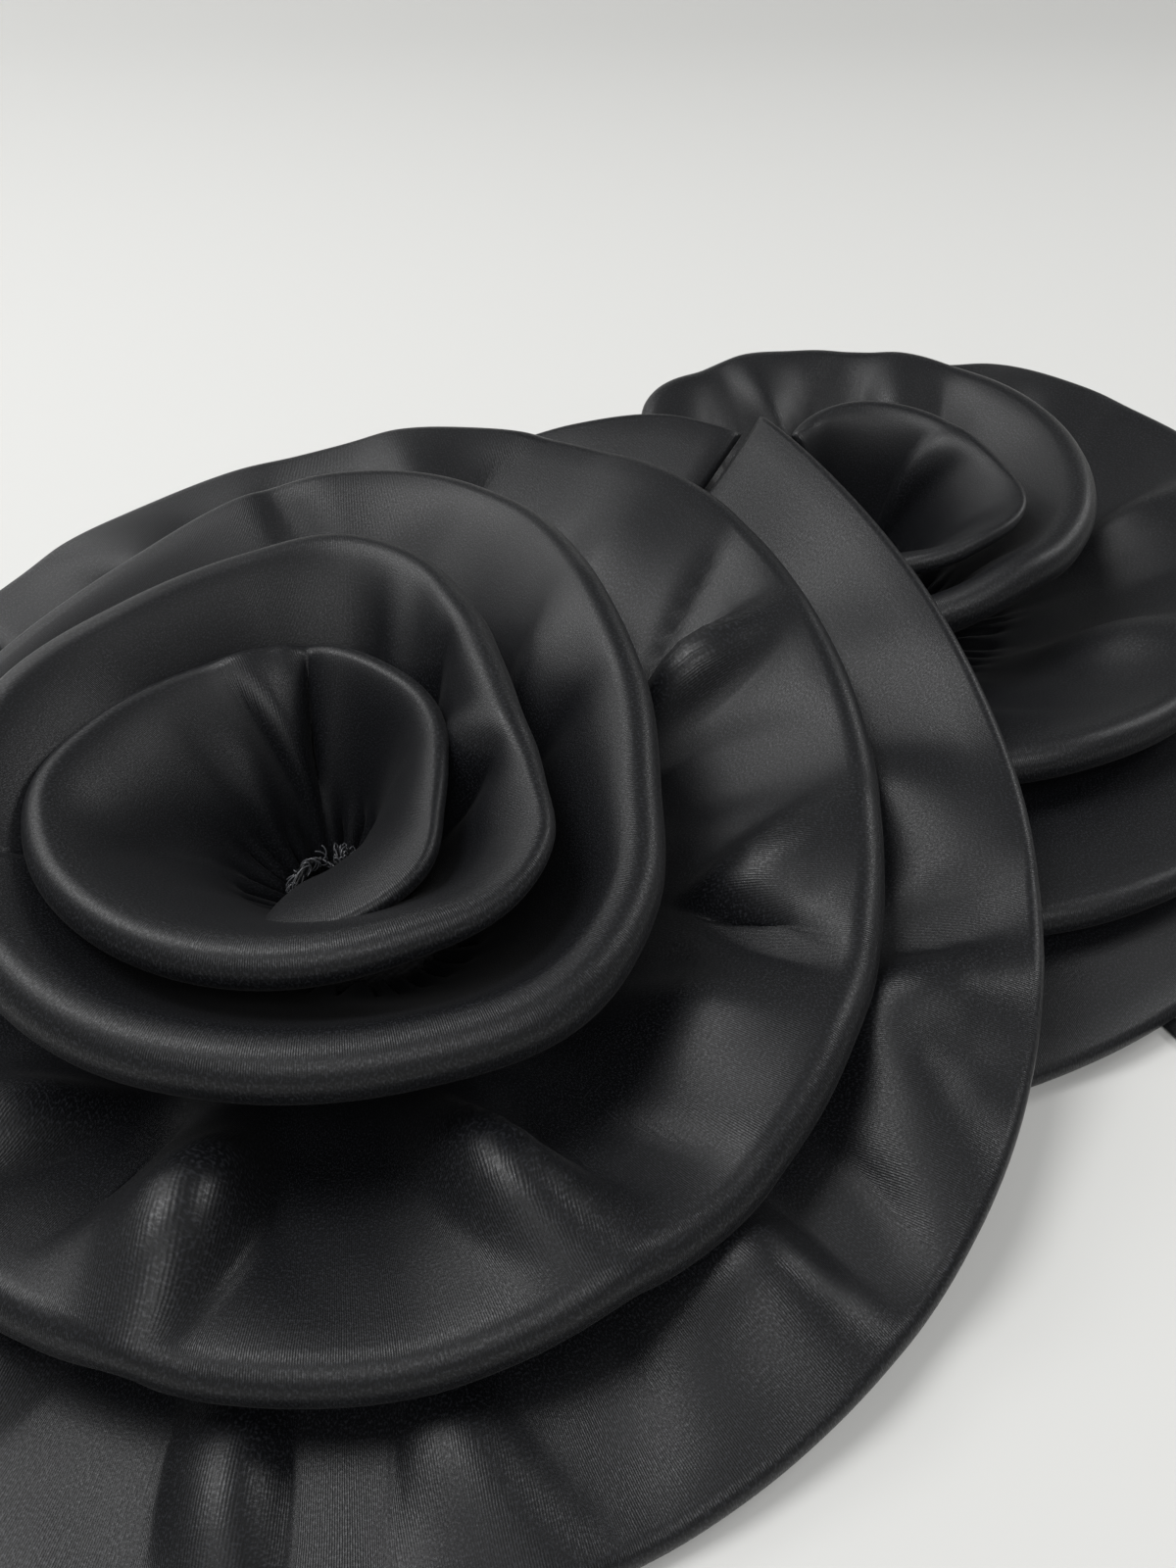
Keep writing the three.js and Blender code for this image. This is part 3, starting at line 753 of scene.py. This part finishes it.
def thread_piece(name, routes, diameter, look, *nodes):
    """Threads laid along routes of points, as one piece."""
    data = bpy.data.curves.new(name, "CURVE")
    data.dimensions = "3D"
    data.bevel_depth = diameter / 2
    data.bevel_resolution = 1
    data.resolution_u = 2
    data.use_fill_caps = True
    for route in routes:
        spline = data.splines.new("POLY")
        spline.points.add(len(route) - 1)
        for point, place in zip(spline.points, route):
            point.co = (*place, 1)
    shaped = bpy.data.objects.new(name + "_route", data)
    mesh = bpy.data.meshes.new_from_object(shaped)
    mesh.name = name
    bpy.data.objects.remove(shaped)
    bpy.data.curves.remove(data)
    mesh.shade_smooth()
    piece = bpy.data.objects.new(name, mesh)
    mesh.materials.clear()
    mesh.materials.append(thread_material(look))
    bpy.context.scene.collection.objects.link(piece)
    if nodes:
        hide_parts(*nodes)
    return piece


class BOA_OT_heart_edges(bpy.types.Operator):
    """Stand the raw, overlocked edge of the gathered seam up inside each heart, with its threads"""
    bl_idname = "boa.heart_edges"
    bl_label = "Heart edges"

    def execute(self, context):
        self.edge(context, "front", FRONT, -60, 400, 1, 0)
        self.edge(context, "rear", REAR, 0, 320, -1, 150)
        return {"FINISHED"}

    def edge(self, context, prefix, centre, first, last, hand, start):
        """One raw edge. hand is 1 where the spiral turns counter-clockwise; start is its 0's plan angle."""
        trim, ruffle = context.scene.boa_trim, context.scene.boa_ruffle
        look = context.scene.boa_satin
        spiral = np.linspace(first, last, 420)
        radius = (ruffle.seam_start + ruffle.seam_pitch * spiral / 360) / MM - 1.8
        plan = np.radians(start + hand * spiral)
        run = np.concatenate([[0], np.cumsum(np.abs(np.diff(plan)) * radius[1:] * 2.6)])
        across = np.linspace(0, 1, 9)[None, :]
        frill = np.sin(2 * math.pi * run / 4.6 + 2 * wavy(run, 31, 9.0))[:, None]
        height = trim.allowance / MM * (0.8 + 0.25 * wavy(run, 33, 12.0))[:, None]
        out = radius[:, None] - 1.6 * across + frill * (0.5 + 1.5 * across)
        up = SEAM_LEVEL / MM + 1.0 + height * across * (1 - 0.12 * frill * across)
        twist = plan[:, None] + 0.12 * frill * across
        grid = np.stack([out * np.cos(twist), out * np.sin(twist), up], -1) * MM + centre
        along = np.broadcast_to(run[:, None] * MM, out.shape)
        uv = np.stack([along, across * height * MM], -1)
        piece = cloth_piece(f"{prefix}_raw_edge", grid, uv, look.cloth)
        piece.data.materials.append(satin_material(look))
        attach(piece, "rosettes")
        length = float(run[-1]) * MM
        top = grid[:, -1]
        fine = np.linspace(0, run[-1], int(length / trim.overlock_pitch * 14))
        edge = np.stack([np.interp(fine, run, top[:, i]) for i in range(3)], -1)
        loop = 2 * math.pi * fine * MM / trim.overlock_pitch
        facing = np.interp(fine, run, plan)
        side = np.stack([np.cos(facing), np.sin(facing), 0 * fine], -1)
        stitches = edge + side * (0.0011 * np.cos(loop))[:, None]
        stitches[:, 2] += 0.0012 * np.sin(loop) - 0.0007 + 0.0004 * wavy(fine, 35, 3.0)
        chain = edge + side * 0.0010 + np.stack([0 * fine, 0 * fine, -0.0022 + 0.0003 * np.sin(loop)], -1)
        rng = random.Random(ruffle.seed + len(prefix))
        loose = []
        for _ in range(11):
            root = edge[rng.randrange(len(edge) // 6, len(edge))]
            turns = np.linspace(0, rng.uniform(1.6, 4.5), 40)
            lean = np.array([rng.uniform(-1, 1), rng.uniform(-1, 1), rng.uniform(0.2, 1.0)])
            size = rng.uniform(0.0008, 0.0016)
            loose.append(root + 0.00045 * turns[:, None] * lean + np.stack(
                [size * np.sin(turns), 0.4 * size * (1 - np.cos(turns)), size * (1 - np.cos(turns))], -1))
        threads = thread_piece(f"{prefix}_overlock_threads", [stitches, chain, *loose], trim.thread, look,
                               f"{prefix}_overlocked_edge")
        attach(threads, "rosettes")


def carried_over(name, material):
    """Give a carried-over node of the frame its finish."""
    mesh = bpy.data.objects[name].data
    mesh.materials.clear()
    mesh.materials.append(material)


class BOA_OT_backings(bpy.types.Operator):
    """Cover the backings with puckered lining and finish the hidden stiffening and gathering threads"""
    bl_idname = "boa.backings"
    bl_label = "Backings"

    def execute(self, context):
        look = context.scene.boa_satin
        for prefix, centre in (("front", FRONT), ("rear", REAR)):
            low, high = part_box(f"{prefix}_backing_cover")
            radius = (high[0] - low[0]) / 2
            self.cover(context, prefix, centre, radius, low[2], high[2])
            carried_over(f"{prefix}_stiff_backing", buckram_material(look))
            carried_over(f"{prefix}_gathering_thread", thread_material(look))
        return {"FINISHED"}

    def cover(self, context, prefix, centre, radius, bottom, top):
        look, trim = context.scene.boa_satin, context.scene.boa_trim
        bm = bmesh.new()
        bmesh.ops.create_circle(bm, cap_ends=False, segments=144, radius=radius)
        rim = list(bm.edges)
        for share in (0.985, 0.95, 0.9, 0.8, 0.65, 0.5, 0.35, 0.2, 0.1):
            ring = bmesh.ops.extrude_edge_only(bm, edges=rim)["geom"]
            rim = [item for item in ring if isinstance(item, bmesh.types.BMEdge)]
            for vert in {v for edge in rim for v in edge.verts}:
                turn = math.atan2(vert.co.y, vert.co.x)
                vert.co.x, vert.co.y = share * radius * math.cos(turn), share * radius * math.sin(turn)
        bmesh.ops.contextual_create(bm, geom=rim)
        middle = (bottom + top) / 2
        for vert in bm.verts:
            turn, share = math.atan2(vert.co.y, vert.co.x), vert.co.xy.length / radius
            pucker = 0.00022 * math.sin(31 * turn + 2 * math.sin(3 * turn)) * max(0, share - 0.6) / 0.4
            vert.co.z = middle + pucker - (0.00012 if 0.93 < share < 0.97 else 0)
            vert.co.x += centre[0]
            vert.co.y += centre[1]
        bmesh.ops.recalc_face_normals(bm, faces=bm.faces)
        mesh = bpy.data.meshes.new(f"{prefix}_lining_cover")
        bm.to_mesh(mesh)
        bm.free()
        mesh.shade_smooth()
        piece = bpy.data.objects.new(mesh.name, mesh)
        context.scene.collection.objects.link(piece)
        body = piece.modifiers.new("Cloth body", "SOLIDIFY")
        body.thickness = look.cloth
        body.offset = 0
        piece.data.materials.append(lining_material(look))
        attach(piece, "rosettes")
        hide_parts(f"{prefix}_backing_cover")
        stitches = []
        count = round(2 * math.pi * 0.95 * radius / trim.stitch)
        for number in range(count):
            turns = [2 * math.pi * (number + share) / count for share in (0.1, 0.3, 0.5, 0.7)]
            depths = [0.0002, -0.00012, -0.00012, 0.0002]
            level = middle - look.cloth / 2 - 0.00006
            stitches.append([(centre[0] + 0.95 * radius * math.cos(turn),
                              centre[1] + 0.95 * radius * math.sin(turn), level + depth)
                             for turn, depth in zip(turns, depths)])
        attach(thread_piece(f"{prefix}_cover_stitches", stitches, trim.thread, look), "rosettes")


def ribbon_piece(name, start, along, stations, rise, thickness, look):
    """A flat, doubled satin ribbon: a pressed tube along stations of (run, left, right)."""
    side = np.array([-along[1], along[0], 0.0])
    turn = np.linspace(0, 2 * math.pi, 57)
    run = np.array([station[0] for station in stations])
    left, right = (np.array([station[i] for station in stations])[:, None] for i in (1, 2))
    flat = np.sign(np.cos(turn)) * np.abs(np.cos(turn)) ** 0.35
    swell = np.sign(np.sin(turn)) * np.abs(np.sin(turn)) ** 0.6
    wide = (left + right) / 2 + flat[None, :] * (left - right) / 2
    ends = np.sqrt(np.clip(np.minimum(run - run[0], run[-1] - run) / 0.003, 0, 1))[:, None]
    high = rise(run[:, None], wide) + swell[None, :] * (0.0003 + (thickness / 2 - 0.0006) * ends)
    grid = (np.array(start) + run[:, None, None] * along + wide[..., None] * side
            + high[..., None] * np.array([0.0, 0.0, 1.0]))
    across = np.concatenate([[0], np.cumsum(np.linalg.norm(np.diff(grid[len(run) // 3], axis=0), axis=1))])
    uv = np.stack(np.broadcast_arrays(run[:, None], across[None, :]), -1)
    piece = cloth_piece(name, grid, uv, look.cloth * 0.7)
    bm = bmesh.new()
    bm.from_mesh(piece.data)
    bmesh.ops.remove_doubles(bm, verts=bm.verts, dist=1e-6)
    bmesh.ops.recalc_face_normals(bm, faces=bm.faces)
    bm.to_mesh(piece.data)
    bm.free()
    piece.data.materials.append(satin_material(look))
    return piece, float(across[-1])


def topstitching(name, start, along, stations, inset, rise, level, trim, look):
    """Rows of topstitches beside both edges of a ribbon, on its upper face."""
    side = np.array([-along[1], along[0], 0.0])
    runs = np.array([station[0] for station in stations])
    rows = []
    for column, towards in ((1, -1), (2, 1)):
        edge = np.array([station[column] for station in stations]) + towards * inset
        for place in np.arange(runs[0] + 0.004, runs[-1] - 0.006, trim.stitch):
            steps = place + trim.stitch * np.array([0.08, 0.25, 0.5, 0.67])
            wide = np.interp(steps, runs, edge)
            high = rise(steps, wide) + level + np.array([-0.0002, 0.00012, 0.00012, -0.0002])
            rows.append(np.array(start) + steps[:, None] * along + wide[:, None] * side
                        + high[:, None] * np.array([0, 0, 1.0]))
    return thread_piece(name, rows, trim.thread, look)


class BOA_OT_neck_band(bpy.types.Operator):
    """Sew the satin sleeve of the neck band round its interlining"""
    bl_idname = "boa.neck_band"
    bl_label = "Neck band"

    def execute(self, context):
        look, trim = context.scene.boa_satin, context.scene.boa_trim
        low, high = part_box("neck_band")
        along = unit(REAR)
        reach = float(np.linalg.norm(REAR))
        overhang = 0.036
        half = 0.025
        stations = [(-overhang + step * (reach + 2 * overhang) / 60, half, -half) for step in range(61)]
        middle = (low[2] + high[2]) / 2

        def rise(run, wide):
            return middle + 0.0002 * np.sin(run / 0.013 + 40 * wide)

        thickness = high[2] - low[2] - 0.0012
        piece, girth = ribbon_piece("neck_band_satin", FRONT, along, stations, rise, thickness, look)
        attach(piece, "rosettes")
        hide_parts("neck_band")
        carried_over("neck_band_interlining", lining_material(look))
        stitches = topstitching("neck_band_stitches", FRONT, along, stations, 0.004, rise,
                                0.0006 - (high[2] - low[2]) / 2, trim, look)
        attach(stitches, "rosettes")
        return {"FINISHED"}


class BOA_OT_ties(bpy.types.Operator):
    """Lay the two ribbon ties out from under the rosettes"""
    bl_idname = "boa.ties"
    bl_label = "Ties"

    def execute(self, context):
        self.tie(context, "front", FRONT, 190, 5)
        self.tie(context, "rear", REAR, -61, 11)
        return {"FINISHED"}

    def tie(self, context, prefix, centre, angle, seed):
        look, trim = context.scene.boa_satin, context.scene.boa_trim
        along = np.array([math.cos(math.radians(angle)), math.sin(math.radians(angle)), 0.0])
        hinge = Vector(self.hinge(f"{prefix}_tie_fold"))
        fold = float(np.dot(np.array(hinge) - centre, along))
        half = trim.tie_width / 2
        first, long_side, short_side = 0.0445, fold + 0.191, fold + 0.169
        stations = []
        for step in range(121):
            run = first + (long_side - first) * step / 120
            slant = max(0.0, run - short_side) / (long_side - short_side)
            stations.append((run, half - slant * (trim.tie_width - 0.0012), -half))

        def rise(run, wide):
            loose = fade(run, fold + 0.004, fold + 0.05)
            return 0.0009 + loose * (0.0012 + 0.0011 * np.sin(run / 0.017 + 30 * wide + seed))

        piece, girth = ribbon_piece(f"{prefix}_tie_satin", centre, along, stations, rise, 0.0014, look)
        stitches = topstitching(f"{prefix}_tie_stitches", centre, along, stations, 0.003, rise, 0.0006,
                                trim, look)
        for item in (piece, stitches):
            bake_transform(item)
        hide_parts(f"{prefix}_tie", f"{prefix}_tie_stay")

    def hinge(self, name):
        for joint in frame["joints"]:
            if joint["name"] == name:
                return joint["pos_m"]
        raise ValueError(f"no joint named {name}")


class BOA_OT_stage(bpy.types.Operator):
    """Set the floor, the backdrop and the soft lights"""
    bl_idname = "boa.stage"
    bl_label = "Stage"

    def execute(self, context):
        stage = context.scene.boa_stage
        bm = bmesh.new()
        bmesh.ops.create_grid(bm, x_segments=1, y_segments=40, size=1)
        for vert in bm.verts:
            run = (vert.co.y + 1) * 1.5
            bend = 0.4
            start = 2.2
            vert.co.x *= 2.5
            if run < start:
                vert.co.y, vert.co.z = run - 1.2, 0
            else:
                turn = min((run - start) / bend, math.pi / 2)
                rise = max(0, run - start - bend * math.pi / 2)
                vert.co.y = start - 1.2 + bend * math.sin(turn)
                vert.co.z = bend * (1 - math.cos(turn)) + rise
        mesh = bpy.data.meshes.new("Backdrop")
        bm.to_mesh(mesh)
        bm.free()
        mesh.shade_smooth()
        backdrop = bpy.data.objects.new("Backdrop", mesh)
        backdrop.data.materials.append(floor_material(stage))
        context.scene.collection.objects.link(backdrop)
        self.light(context, "Window", (-1.1, 0.9, 1.0), 1.2, stage.window_power)
        self.light(context, "Overhead", (-0.5, 0.1, 1.2), 0.62, stage.top_power)
        self.light(context, "Room", (0.15, -1.1, 1.25), 1.0, stage.room_power)
        self.light(context, "Side", (1.2, 0.5, 0.85), 0.4, stage.side_power)
        world = bpy.data.worlds.new("Room")
        world.use_nodes = True
        world.node_tree.nodes["Background"].inputs[0].default_value = (1.0, 1.0, 0.98, 1)
        world.node_tree.nodes["Background"].inputs[1].default_value = 0.22
        context.scene.world = world
        context.scene.view_settings.view_transform = "Standard"
        return {"FINISHED"}

    def light(self, context, name, place, size, power):
        data = bpy.data.lights.new(name, "AREA")
        data.shape = "DISK"
        data.size = size
        data.energy = power
        lamp = bpy.data.objects.new(name, data)
        lamp.location = place
        lamp.rotation_euler = (-Vector(place)).to_track_quat("-Z", "Y").to_euler()
        context.scene.collection.objects.link(lamp)


class BOA_PT_panel(bpy.types.Panel):
    """Steps and settings of the boa"""
    bl_label = "Satin boa"
    bl_idname = "BOA_PT_panel"
    bl_space_type = "VIEW_3D"
    bl_region_type = "UI"
    bl_category = "Boa"

    def draw(self, context):
        for operator in OPERATORS:
            self.layout.operator(operator.bl_idname)
        for settings in (getattr(context.scene, name) for name in SETTINGS):
            box = self.layout.box()
            for name in settings.bl_rna.properties.keys():
                if name not in ("rna_type", "name"):
                    box.prop(settings, name)


SETTINGS = {"boa_satin": BoaSatinSettings, "boa_ruffle": BoaRuffleSettings, "boa_trim": BoaTrimSettings,
            "boa_stage": BoaStageSettings}
OPERATORS = [BOA_OT_camera, BOA_OT_front_rosette, BOA_OT_rear_rosette, BOA_OT_heart_edges, BOA_OT_backings,
             BOA_OT_neck_band, BOA_OT_ties, BOA_OT_stage]


def register():
    for item in [*SETTINGS.values(), *OPERATORS, BOA_PT_panel]:
        bpy.utils.register_class(item)
    for name, settings in SETTINGS.items():
        setattr(bpy.types.Scene, name, bpy.props.PointerProperty(type=settings))


def unregister():
    for name in SETTINGS:
        delattr(bpy.types.Scene, name)
    for item in reversed([*SETTINGS.values(), *OPERATORS, BOA_PT_panel]):
        bpy.utils.unregister_class(item)


def main():
    register()
    bpy.ops.boa.camera()
    bpy.ops.boa.front_rosette()
    bpy.ops.boa.rear_rosette()
    bpy.ops.boa.heart_edges()
    bpy.ops.boa.backings()
    bpy.ops.boa.neck_band()
    bpy.ops.boa.ties()
    bpy.ops.boa.stage()


if __name__ == "__main__":
    main()
